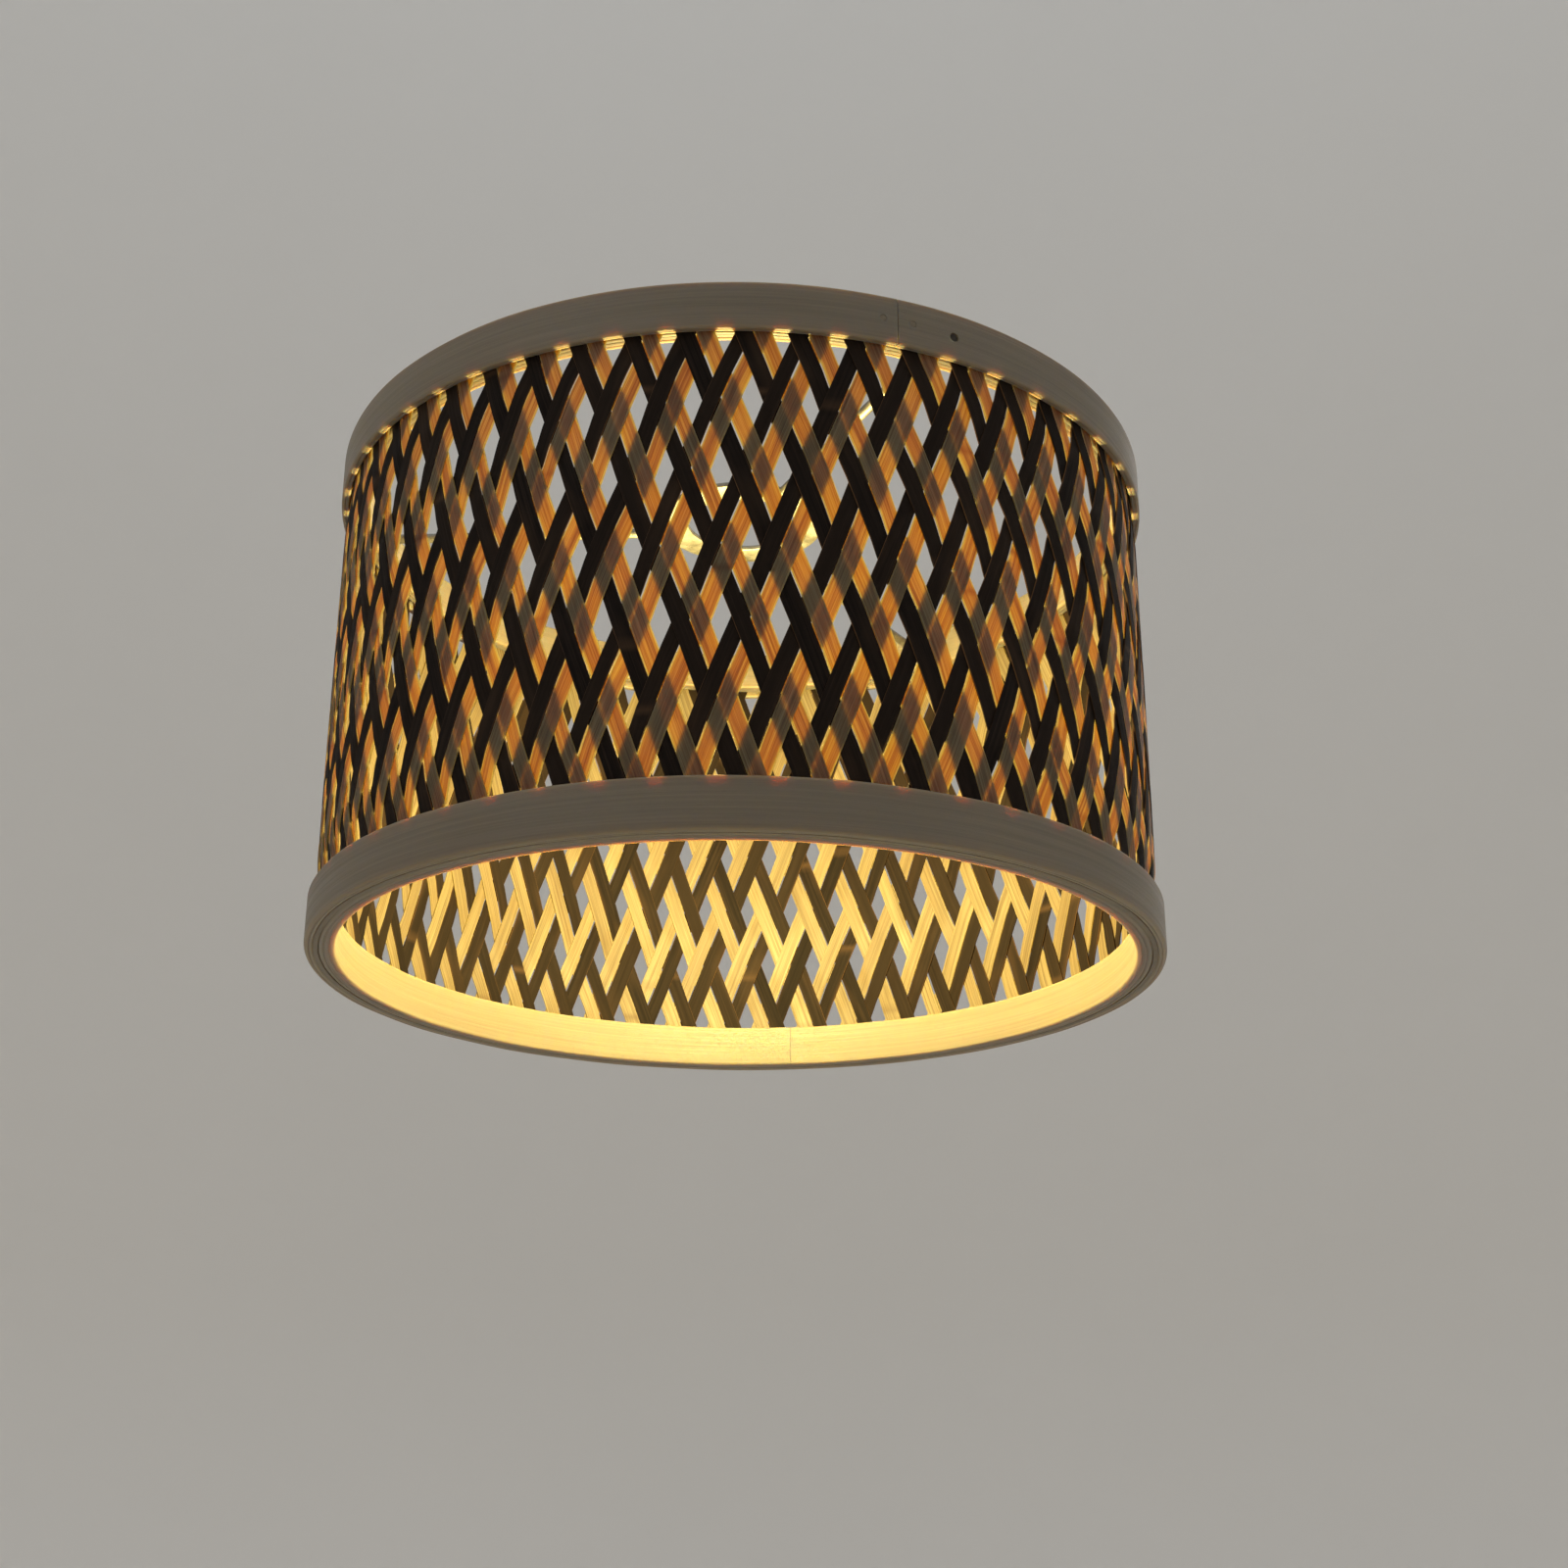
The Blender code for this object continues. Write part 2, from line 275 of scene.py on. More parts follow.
def natural_strip_material():
    """Split bamboo in its own colour, thin enough for light to come through as amber; its outer face is
    painted darker and cooler, partly the bamboo's skin and partly painted shade.
    """
    n = Nodes("natural_bamboo_strip")
    tone, coarse, fine, blotch = fibre_nodes(n)
    streaks = n.maths("ADD", n.maths("MULTIPLY", coarse, 0.45), n.maths("MULTIPLY", fine, 0.55))
    colour = n.ramp(
        streaks, (0.34, (0.150, 0.108, 0.058)), (0.50, (0.310, 0.248, 0.136)), (0.66, (0.440, 0.355, 0.220))
    )
    aged = n.mixed(n.range(tone, 0.0, 1.0, 0.0, 0.55), colour, rgb(0.225, 0.160, 0.085))
    spotted = n.mixed(n.range(blotch, 0.50, 0.72, 0.0, 0.40), aged, rgb(0.165, 0.105, 0.050))
    knot = n.attribute("knot").outputs["Fac"]
    knotted = n.mixed(n.maths("MULTIPLY", knot, 0.7), spotted, rgb(0.13, 0.07, 0.028))
    edge = n.attribute("edge").outputs["Fac"]
    worn = n.mixed(n.range(edge, 0.90, 1.0, 0.0, 0.5), knotted, rgb(0.46, 0.37, 0.23))
    skin_and_shade = n.attribute("skin_and_shade").outputs["Fac"]
    # Painted shade: the outer face is multiplied darker and cooler, partly the bamboo's skin and partly the
    # dim light outside the shade
    skin_and_shade_tinted = n.mixed(skin_and_shade, worn, rgb(0.54, 0.56, 0.60), "MULTIPLY")
    n.set(Base_Color=skin_and_shade_tinted, Specular_IOR_Level=0.35)
    n.set(Roughness=n.range(streaks, 0.3, 0.7, 0.58, 0.38))
    relief = n.maths("ADD", n.maths("MULTIPLY", fine, 0.6), n.maths("MULTIPLY", coarse, 0.4))
    normal = n.bump(relief, 0.55, 0.00012)
    n.set(Normal=normal)
    through = n.add("BsdfTranslucent")
    glow = n.ramp(
        streaks, (0.39, (0.43, 0.18, 0.006)), (0.50, (0.68, 0.37, 0.020)), (0.60, (0.87, 0.64, 0.11))
    )
    thin = n.mixed(n.range(edge, 0.82, 0.90, 0.0, 1.0), glow, rgb(1.0, 0.90, 0.42))
    n.wire(n.mixed(n.maths("MULTIPLY", knot, 0.75), thin, rgb(0.50, 0.22, 0.05)), through.inputs["Color"])
    n.wire(normal, through.inputs["Normal"])
    both = n.add("MixShader")
    both.inputs["Fac"].default_value = 0.42
    n.wire(n.shader.outputs[0], both.inputs[1])
    n.wire(through.outputs[0], both.inputs[2])
    n.wire(both.outputs[0], n.output.inputs["Surface"])
    return n.material


def dyed_strip_material():
    """Split bamboo dyed nearly black, with the dye thinner on fibres, knots and arrises."""
    n = Nodes("dyed_bamboo_strip")
    tone, coarse, fine, blotch = fibre_nodes(n)
    streaks = n.maths("ADD", n.maths("MULTIPLY", coarse, 0.55), n.maths("MULTIPLY", fine, 0.45))
    colour = n.ramp(
        streaks,
        (0.32, (0.0045, 0.0030, 0.0023)),
        (0.52, (0.0110, 0.0071, 0.0051)),
        (0.72, (0.031, 0.019, 0.012)),
    )
    faded = n.mixed(n.range(tone, 0.0, 1.0, 0.0, 0.5), colour, rgb(0.026, 0.016, 0.010))
    spotted = n.mixed(n.range(blotch, 0.55, 0.78, 0.0, 0.5), faded, rgb(0.052, 0.030, 0.017))
    edge = n.attribute("edge").outputs["Fac"]
    rubbed = n.maths("MULTIPLY", n.range(edge, 0.93, 1.0, 0.0, 1.0), n.range(blotch, 0.42, 0.60, 0.1, 0.9))
    worn = n.mixed(rubbed, spotted, rgb(0.20, 0.105, 0.045))
    knot = n.attribute("knot").outputs["Fac"]
    n.set(Base_Color=n.mixed(n.maths("MULTIPLY", knot, 0.5), worn, rgb(0.10, 0.055, 0.028)))
    n.set(Roughness=n.range(streaks, 0.3, 0.7, 0.76, 0.62), Specular_IOR_Level=0.08)
    relief = n.maths("ADD", n.maths("MULTIPLY", fine, 0.55), n.maths("MULTIPLY", coarse, 0.45))
    n.set(Normal=n.bump(relief, 0.6, 0.00014))
    return n.material


def hoop_material():
    """Shaved bamboo in thick bent bands: greyed by handling, with straight fibres and pores, and the outer
    face painted darker and cooler, partly its skin and partly painted shade.
    """
    n = Nodes("natural_bamboo_band")
    tone, coarse, fine, blotch = fibre_nodes(n)
    pores = pore_nodes(n)
    streaks = n.maths("ADD", n.maths("MULTIPLY", coarse, 0.62), n.maths("MULTIPLY", fine, 0.38))
    colour = n.ramp(
        streaks, (0.35, (0.098, 0.074, 0.048)), (0.50, (0.194, 0.150, 0.098)), (0.65, (0.295, 0.234, 0.158))
    )
    aged = n.mixed(n.range(tone, 0.0, 1.0, 0.0, 0.45), colour, rgb(0.175, 0.126, 0.078))
    grey = n.mixed(n.range(blotch, 0.40, 0.75, 0.0, 0.45), aged, rgb(0.165, 0.145, 0.118))
    dots = n.mixed(n.range(pores, 0.60, 0.74, 0.0, 0.55), grey, rgb(0.110, 0.070, 0.036))
    knot = n.attribute("knot").outputs["Fac"]
    knotted = n.mixed(n.maths("MULTIPLY", knot, 0.65), dots, rgb(0.120, 0.078, 0.040))
    edge = n.attribute("edge").outputs["Fac"]
    worn = n.mixed(n.maths("MULTIPLY", edge, 0.45), knotted, rgb(0.35, 0.29, 0.20))
    # Painted shade: darker and cooler towards the outer face, partly the bamboo's skin
    skin_and_shade_tinted = n.mixed(n.attribute("skin_and_shade").outputs["Fac"], worn, rgb(0.80, 0.82, 0.86), "MULTIPLY")
    n.set(Base_Color=skin_and_shade_tinted, Specular_IOR_Level=0.38)
    n.set(Subsurface_Weight=0.90, Subsurface_Radius=(1.0, 0.62, 0.20), Subsurface_Scale=0.009)
    n.set(Roughness=n.range(streaks, 0.3, 0.7, 0.60, 0.40))
    relief = n.maths("ADD", n.maths("MULTIPLY", fine, 0.5), n.maths("MULTIPLY", coarse, 0.5))
    deep = n.maths("SUBTRACT", relief, n.range(pores, 0.60, 0.74, 0.0, 0.5))
    n.set(Normal=n.bump(deep, 0.6, 0.00018))
    return n.material


def metal_material(name, dark, light, rough_low, rough_high):
    """Plated steel with a cloudy plating, fine scratches and dull specks."""
    n = Nodes(name)
    place = n.add("TexCoord").outputs["Object"]
    cloud = n.noise(place, 160.0, 4.0, 0.6)
    specks = n.noise(place, 1500.0, 2.0)
    scratches = n.noise(n.scaled(place, (300.0, 300.0, 4000.0)), 1.0, 3.0)
    colour = n.ramp(cloud, (0.35, dark), (0.65, light))
    dull = n.range(specks, 0.58, 0.70, 0.0, 0.6)
    n.set(Base_Color=n.mixed(dull, colour, rgb(*[c * 0.45 for c in dark])), Metallic=1.0)
    rough = n.range(cloud, 0.3, 0.7, rough_low, rough_high)
    n.set(Roughness=n.maths("ADD", rough, n.maths("MULTIPLY", dull, 0.25), clamp=True))
    relief = n.maths("ADD", scratches, n.maths("MULTIPLY", specks, 0.5))
    n.set(Normal=n.bump(relief, 0.35, 0.00006))
    return n.material


def putty_material():
    """Wood putty: chalky, a shade darker than the band, with darker specks."""
    n = Nodes("wood_putty")
    place = n.add("TexCoord").outputs["Object"]
    cloud = n.noise(place, 900.0, 3.0, 0.6)
    grit = n.noise(place, 6000.0, 2.0)
    colour = n.ramp(cloud, (0.35, (0.150, 0.116, 0.076)), (0.65, (0.205, 0.162, 0.108)))
    n.set(Base_Color=n.mixed(n.range(grit, 0.55, 0.70, 0.0, 0.5), colour, rgb(0.12, 0.09, 0.06)))
    n.set(Roughness=n.range(cloud, 0.3, 0.7, 0.65, 0.85), Normal=n.bump(grit, 0.5, 0.00005))
    return n.material


NATURAL = natural_strip_material()
DYED = dyed_strip_material()
BAND = hoop_material()
PUTTY = putty_material()
ZINC = metal_material("zinc_plated_steel_wire", (0.24, 0.225, 0.19), (0.40, 0.38, 0.33), 0.50, 0.66)
BLUED = metal_material("blued_steel_nail", (0.045, 0.040, 0.036), (0.10, 0.085, 0.07), 0.38, 0.60)
WELD = metal_material("weld_bead", (0.16, 0.14, 0.12), (0.34, 0.31, 0.27), 0.45, 0.70)


# ---------------------------------------------------------------- woven wall


def unevenness(strength):
    """How far a band strays sideways at a height, in metres: an offset, a lean and a slow wave."""
    offset = rng.gauss(0, 0.42) * strength
    lean = rng.gauss(0, 0.35) * strength
    wave = rng.gauss(0, 0.22) * strength
    phase = rng.uniform(0, tau)
    turns = rng.uniform(1.2, 2.6)

    def stray(z):
        t = (z - HEIGHT / 2) / (HEIGHT / 2)
        return 0.001 * (offset + lean * t + wave * np.sin(phase + turns * pi * t))

    return stray


def make_bands():
    """For each of the two sets, every band's own stray, widths, slit and taper."""
    sets = {}
    for lean in (1, -1):
        bands = []
        for i in range(BANDS):
            bands.append(
                {
                    "stray": unevenness(1.0),
                    "dyed": DYED_WIDTH * (1 + rng.gauss(0, 0.045)),
                    "natural": NATURAL_WIDTH * (1 + rng.gauss(0, 0.05)),
                    "slit": SLIT * rng.uniform(0.45, 1.7),
                    "taper": rng.gauss(0, 0.00018),
                }
            )
        sets[lean] = bands
    return sets


BAND_SETS = make_bands()


def band_left(lean, i, z):
    """Arc position of band i's left edge, in radians of the even weave."""
    band = BAND_SETS[lean][i % BANDS]
    start = BAND_START + i * PITCH + lean * LEAN * (z - ROW_ZERO)
    return start + band["stray"](z) / WEAVE_MIDDLE


def band_width(lean, i):
    band = BAND_SETS[lean][i % BANDS]
    return (band["dyed"] + band["slit"] + band["natural"]) / WEAVE_MIDDLE


def over_or_under(lean, i, arc, z):
    """From 1 to -1: outside or inside at each point, by the other set's bands there."""
    other = -lean
    nominal = (arc - BAND_START - other * LEAN * (z - ROW_ZERO)) / PITCH
    base = np.floor(nominal).astype(int)
    result = np.zeros_like(arc)
    done = np.zeros(arc.shape, bool)
    for shift in (-1, 0, 1):
        j = base + shift
        left = np.empty_like(arc)
        right = np.empty_like(arc)
        following = np.empty_like(arc)
        for number in np.unique(j):
            at = j == number
            left[at] = band_left(other, int(number), z[at])
            right[at] = left[at] + band_width(other, int(number))
            following[at] = band_left(other, int(number) + 1, z[at])
        here = np.where((j - i) % 2 == 0, 1.0, -1.0) * lean
        on_band = (arc >= left) & (arc <= right)
        in_gap = (arc > right) & (arc < following)
        across_gap = smooth((arc - right) / np.maximum(following - right, 1e-6))
        result = np.where(on_band & ~done, here, result)
        result = np.where(in_gap & ~done, here * (1 - 2 * across_gap), result)
        done |= on_band | in_gap
    return result


def bow(z):
    """How far the wall stands out at a height, with a quick pinch where the hoops clamp it."""
    share = clamp01((z - CLAMP_LOW) / (CLAMP_HIGH - CLAMP_LOW))
    pinch = smooth(share / 0.10) * smooth((1 - share) / 0.10)
    return WEAVE_BOW * (0.72 * pinch + 0.28 * np.sin(pi * share))


buckle_low = waves(5, 6, 2, 9)
buckle_high = waves(6, 6, 3, 11)


def buckle(azimuth, z):
    """Slow in-and-out unevenness that the whole wall shares, nothing where it is clamped."""
    share = clamp01((z - CLAMP_LOW) / (CLAMP_HIGH - CLAMP_LOW))
    return -0.0002 * np.sin(pi * share) * (
        1 + 0.5 * buckle_low(azimuth) * (1 - share) + 0.5 * buckle_high(azimuth) * share
    )


def true_azimuth(arc):
    """The weave is packed a little closer on one side of the front than on the other."""
    return FRONT + arc - SPREAD * np.cos(arc) + SPREAD


# How much of a strip's outer-face darkening shows at each kind of point in its outline: partly the bamboo's
# skin, partly painted shade
SKIN_AND_SHADE_OF_KIND = {2: 1.0, 1: 0.5, -1: 0.5, -2: 0.0}


def strip_section(half):
    """A strip's outline of (across, outward, kind) points, with cut-off arrises.

    The kind is 2 on the outer face, -2 on the inner face, 1 on the right edge and -1 on the left.
    """
    t = STRIP_THICKNESS / 2
    e = STRIP_EDGE
    inner = half - e
    face = [-inner, -inner / 2, 0.0, inner / 2, inner]
    points = [(-half, -t + e, -1), (-half, t - e, -1)]
    points += [(u, t, 2) for u in face]
    points += [(half, t - e, 1), (half, -t + e, 1)]
    points += [(u, -t, -2) for u in reversed(face)]
    return points


def build_strip(lean, i, kind, heights):
    """Points, normals, fibre position, edge, knot and outer-face darkening (partly skin, partly painted
    shade) of one strip.
    """
    band = BAND_SETS[lean][i]
    width = band[kind]
    start = 0.0 if kind == "dyed" else band["dyed"] + band["slit"]
    middle = start + width / 2
    section = strip_section(width / 2)
    across = np.array([p[0] for p in section])
    outward = np.array([p[1] for p in section])
    kinds = np.array([p[2] for p in section])
    z = np.repeat(heights[:, None], len(section), 1)
    taper = 1 + band["taper"] / width * 2 * (z - HEIGHT / 2) / HEIGHT
    arc = band_left(lean, i, z) + (middle + across[None, :] * taper) / WEAVE_MIDDLE
    side = over_or_under(lean, i, arc, z)
    azimuth = true_azimuth(arc)
    nudge = rng.uniform(-0.00002, 0.00002)
    knot_at = rng.uniform(-0.25, 1.25) * HEIGHT
    knot = np.exp(-(((z - knot_at) / 0.0011) ** 2))
    thicker = 1 + 0.16 * np.exp(-(((z - knot_at) / 0.0024) ** 2))
    radius = WEAVE_MIDDLE + bow(z) + buckle(azimuth, z) + LIFT * side + nudge
    radius = radius + np.where(outward[None, :] * side > 0, outward[None, :] * thicker, outward[None, :])
    points = np.stack([radius * np.cos(azimuth), radius * np.sin(azimuth), z], -1)
    up = np.gradient(points, axis=0)
    round_it = np.stack([-np.sin(azimuth), np.cos(azimuth), np.zeros_like(z)], -1)
    outer = points[:, 2:7]
    inner = points[:, 9:14]
    sideways = np.array(round_it)
    sideways[:, 2:7] = np.gradient(outer, axis=1)
    sideways[:, 9:14] = -np.gradient(inner, axis=1)
    normal = np.cross(sideways, up)
    normal /= np.linalg.norm(normal, axis=-1, keepdims=True)
    edge_way = np.cross(up, np.cross(round_it, up))
    edge_way /= np.linalg.norm(edge_way, axis=-1, keepdims=True)
    normals = np.where((kinds == 2)[None, :, None], normal, 0.0)
    normals = np.where((kinds == -2)[None, :, None], -normal, normals)
    normals = np.where((kinds == 1)[None, :, None], edge_way, normals)
    normals = np.where((kinds == -1)[None, :, None], -edge_way, normals)
    tone = rng.random() * np.ones_like(z)
    offset = rng.uniform(0, 3.0)
    fibre = np.stack([across[None, :] + 0 * z + offset * 0.01, z / cos(radians(20)) + offset, tone], -1)
    edge = np.abs(across[None, :]) / (width / 2) + 0 * z
    # Full skin tone and painted shade on the outer face, half on the edges, none on the inner face
    skin_and_shade = np.array([SKIN_AND_SHADE_OF_KIND[k] for k in kinds])[None, :] + 0 * z
    return points, normals, fibre, edge, knot, skin_and_shade


def build_strips(lean, kind, first, last, name, material):
    """One piece: a run of neighbouring strips of one kind, each a closed solid of its own."""
    parts = []
    faces = []
    at = 0
    for i in range(first, last):
        low = rng.uniform(0.0003, 0.0007)
        high = HEIGHT - rng.uniform(0.0003, 0.0007)
        parts.append(build_strip(lean, i, kind, np.linspace(low, high, ROWS)))
        sides = parts[-1][0].shape[1]
        faces += [tuple(at + v for v in face[::-1]) for face in swept_faces(ROWS, sides, closed=False)]
        at += ROWS * sides
    points, normals, fibre, edge, knot, skin_and_shade = (
        np.concatenate([p[k].reshape(-1, 3) if k < 3 else p[k].ravel() for p in parts]) for k in range(6)
    )
    obj = mesh_object(name, points, faces, material)
    mesh = obj.data
    mesh.polygons.foreach_set("use_smooth", [True] * len(mesh.polygons))
    store(mesh, "fibre", "FLOAT_VECTOR", fibre)
    store(mesh, "edge", "FLOAT", edge)
    store(mesh, "knot", "FLOAT", knot)
    store(mesh, "skin_and_shade", "FLOAT", skin_and_shade)
    mesh.normals_split_custom_set_from_vertices([tuple(v) for v in normals])
    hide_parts("woven_bamboo_wall")
    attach(obj, "root")


def build_weave():
    """Sixteen pieces: dyed and natural strips, leaning right and left, in four runs round the shade."""
    limits = [round(q * BANDS / QUARTERS) for q in range(QUARTERS + 1)]
    for lean, side in ((1, "right"), (-1, "left")):
        for kind, material in (("dyed", DYED), ("natural", NATURAL)):
            for q in range(QUARTERS):
                name = f"{kind}_strips_leaning_{side}_{q + 1}"
                build_strips(lean, kind, limits[q], limits[q + 1], name, material)


# ---------------------------------------------------------------- hoops


def arc_points(centre_r, centre_z, radius, start, end, steps):
    return [
        (
            centre_r + radius * cos(radians(start + (end - start) * i / steps)),
            centre_z + radius * sin(radians(start + (end - start) * i / steps)),
        )
        for i in range(steps + 1)
    ]


def hoop_section(inside, outside, low, high, layers, rounding):
    """A laminated band's outline of (radius, height, layer, rim side, wear) points.

    It runs down the outer face, in along the lower edges, up the inner face and out along the top.
    """
    small = 0.00022
    slot = 0.00004
    thick = (outside - inside) / layers
    points = []

    def corner(layer, centre_r, centre_z, radius, start, end, steps, rim):
        for r, z in arc_points(centre_r, centre_z, radius, start, end, steps):
            points.append((r, z, layer, rim, 1.0 if radius > small else 0.5))

    for rim in ("low", "high"):
        order = range(layers - 1, -1, -1) if rim == "low" else range(layers)
        for layer in order:
            r_in = inside + layer * thick + (slot if layer > 0 else 0.0)
            r_out = inside + (layer + 1) * thick - (slot if layer < layers - 1 else 0.0)
            big_out = rounding if layer == layers - 1 else small
            big_in = rounding * 0.8 if layer == 0 else small
            steps_out = 5 if layer == layers - 1 else 2
            steps_in = 5 if layer == 0 else 2
            if rim == "low":
                corner(layer, r_out - big_out, low + big_out, big_out, 0, -90, steps_out, rim)
                corner(layer, r_in + big_in, low + big_in, big_in, -90, -180, steps_in, rim)
            else:
                corner(layer, r_in + big_in, high - big_in, big_in, 180, 90, steps_in, rim)
                corner(layer, r_out - big_out, high - big_out, big_out, 90, 0, steps_out, rim)
    return points


def pin_cutter(node, shank_radius, head_radius, foot):
    """A clearance tool for a nail or brad: a pocket for its head and a hole for its shank."""
    low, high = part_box(node)
    middle = (low + high) / 2
    azimuth = atan2(middle.y, middle.x)
    pocket = RADIUS - 0.0010
    rings = (
        (RADIUS + 0.002, head_radius),
        (pocket, head_radius),
        (pocket, shank_radius),
        (foot, shank_radius),
    )
    sides = 20
    points = []
    for distance, radius in rings:
        for s in range(sides):
            a = tau * s / sides
            sideways = radius * cos(a)
            points.append(
                (
                    distance * cos(azimuth) - sideways * sin(azimuth),
                    distance * sin(azimuth) + sideways * cos(azimuth),
                    middle.z + radius * sin(a),
                )
            )
    return points, swept_faces(len(rings), sides, closed=False)


def cut_pins(obj, pins):
    points = []
    faces = []
    for pin in pins:
        own, quads = pin_cutter(*pin)
        faces += [tuple(len(points) + v for v in face) for face in quads]
        points += own
    cutter = face_outward(mesh_object("pin_cutter", points, faces, BAND))
    boolean = obj.modifiers.new("Pins", "BOOLEAN")
    boolean.operation = "DIFFERENCE"
    boolean.solver = "EXACT"
    boolean.object = cutter
    bpy.context.view_layer.update()
    evaluated = obj.evaluated_get(bpy.context.evaluated_depsgraph_get())
    mesh = bpy.data.meshes.new_from_object(evaluated)
    obj.modifiers.clear()
    obj.data = mesh
    bpy.data.objects.remove(cutter)


def wrapped(lengths, sides):
    """Which corners of swept quads close an outline: the two at its first point, seen from its last."""
    marks = np.zeros((lengths, sides, 4), bool)
    marks[:, -1, 2:] = True
    return marks.ravel()


def build_hoop(node, inside, outside, low, high, layers, seam, half_gap, seed, pins):
    """A laminated band bent into a hoop, butted at its seam, with pockets for its nails or brads."""
    rounding = 0.0010
    section = hoop_section(inside, outside, low, high, layers, rounding)
    rings = 289
    gap = half_gap / RADIUS
    azimuths = np.linspace(seam + gap, seam + tau - gap, rings)
    radius = np.array([p[0] for p in section])
    height = np.array([p[1] for p in section])
    layer = np.array([p[2] for p in section])
    lower = np.array([p[3] == "low" for p in section])
    wear = np.array([p[4] for p in section])
    edges = np.hypot(np.diff(radius, append=radius[0]), np.diff(height, append=height[0]))
    around = np.concatenate([[0.0], np.cumsum(edges)[:-1]])
    shift = np.zeros((rings, len(section)))
    for one in range(layers):
        for is_low in (True, False):
            curve = waves(seed * 10 + one * 2 + is_low, 5, 3, 23)
            inward = 0.00010 * (1 + 0.8 * curve(azimuths))
            inward = np.maximum(inward, 0.0)
            at = (layer == one) & (lower == is_low)
            shift[:, at] = (inward if is_low else -inward)[:, None]
    sway = waves(seed * 10 + 9, 6, 2, 14)
    squeeze = 0.00008 * (1 + sway(azimuths))
    near_outside = (radius - inside) / (outside - inside)
    from_outside = squeeze[:, None] * near_outside[None, :]
    from_inside = squeeze[:, None] * (1 - near_outside)[None, :] * 0.5
    r = radius[None, :] - from_outside + from_inside
    z = height[None, :] + shift
    a = azimuths[:, None] + 0 * r
    points = np.stack([r * np.cos(a), r * np.sin(a), z], -1).reshape(-1, 3)
    obj = mesh_object(node + "_bamboo", points, swept_faces(rings, len(section), closed=False), BAND)
    picker = random.Random(seed)
    knot = np.zeros_like(r)
    for _ in range(5):
        where = picker.uniform(0, tau)
        of_layer = picker.randrange(layers)
        turn = (a - where + pi) % tau - pi
        knot = np.maximum(knot, np.exp(-((turn * RADIUS / 0.0012) ** 2)) * (layer == of_layer)[None, :])
    tones = np.array([picker.random() for _ in range(layers)])[layer]
    fibre = np.stack([around[None, :] + 0 * r + seed, a * RADIUS, tones[None, :] + 0 * r], -1)
    corners = np.zeros(len(obj.data.loops), int)
    obj.data.loops.foreach_get("vertex_index", corners)
    at_corner = fibre.reshape(-1, 3)[corners]
    of_quads = at_corner[: 4 * (rings - 1) * len(section)]
    of_quads[wrapped(rings - 1, len(section)), 0] = around[-1] + edges[-1] + seed
    store(obj.data, "fibre", "FLOAT_VECTOR", at_corner, "CORNER")
    store(obj.data, "edge", "FLOAT", (wear[None, :] + 0 * r).ravel()[corners], "CORNER")
    store(obj.data, "knot", "FLOAT", knot.ravel()[corners], "CORNER")
    # Towards the outer face, more of the skin tone and painted shade
    store(obj.data, "skin_and_shade", "FLOAT", (near_outside[None, :] + 0 * r).ravel()[corners], "CORNER")
    face_outward(obj)
    cut_pins(obj, pins)
    shade(obj, 40)
    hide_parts(node)
    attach(obj, "root")


def build_hoops():
    top_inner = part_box("top_inner_hoop")
    bottom_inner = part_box("bottom_inner_hoop")
    nail = (0.0011, 0.0017, 0.136)
    brad = (0.0009, 0.0013, 0.1415)
    top_pins = [(f"arm_nail_{k}", *nail) for k in (1, 2, 3)]
    top_pins += [(f"top_seam_brad_{side}", *brad) for side in ("left", "right")]
    low_pins = [(f"bottom_seam_brad_{side}", *brad) for side in ("left", "right")]
    outer = (OUTER_HOOP_INSIDE, RADIUS)
    inner = (WALL_INSIDE, INNER_HOOP_OUTSIDE)
    build_hoop("top_outer_hoop", *outer, top[0].z, HEIGHT, 2, radians(-69.5), 0.00019, 11, top_pins)
    build_hoop("top_inner_hoop", *inner, top_inner[0].z, HEIGHT, 3, radians(21), 0.00004, 12, top_pins)
    build_hoop("bottom_outer_hoop", *outer, 0.0, bottom[1].z, 2, radians(112), 0.00013, 13, low_pins)
    build_hoop("bottom_inner_hoop", *inner, 0.0, bottom_inner[1].z, 3, radians(82), 0.00003, 14, low_pins)


def build_rim_filler(name, low, high, seed):
    """Glue and bamboo dust packed between the strips' ends, its face slightly hollow."""
    inside = INNER_HOOP_OUTSIDE + 0.00001
    outside = OUTER_HOOP_INSIDE - 0.00001
    middle = (inside + outside) / 2
    section = [(outside, low), (middle, low), (inside, low), (inside, high), (middle, high), (outside, high)]
    dip = waves(seed, 14, 20, 190)
    rings = 720
    points = []
    fibre = []
    for i in range(rings):
        a = tau * i / rings
        hollow = 0.00007 * (1 + dip(a))
        for k, (r, z) in enumerate(section):
            shift = hollow * (1.3 if k in (1, 4) else 1.0)
            z_now = z + shift if k < 3 else z - shift
            points.append((r * cos(a), r * sin(a), z_now))
            fibre.append((r + seed, a * RADIUS * 0.2, 0.9))
    obj = face_outward(mesh_object(name, points, swept_faces(rings, len(section), True), BAND))
    store(obj.data, "fibre", "FLOAT_VECTOR", fibre)
    store(obj.data, "edge", "FLOAT", [0.0] * len(points))
    store(obj.data, "knot", "FLOAT", [0.35] * len(points))
    # Part of the skin tone and painted shade on the filler's faces
    store(obj.data, "skin_and_shade", "FLOAT", [0.6] * len(points))
    shade(obj, 50)
    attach(obj, "root")


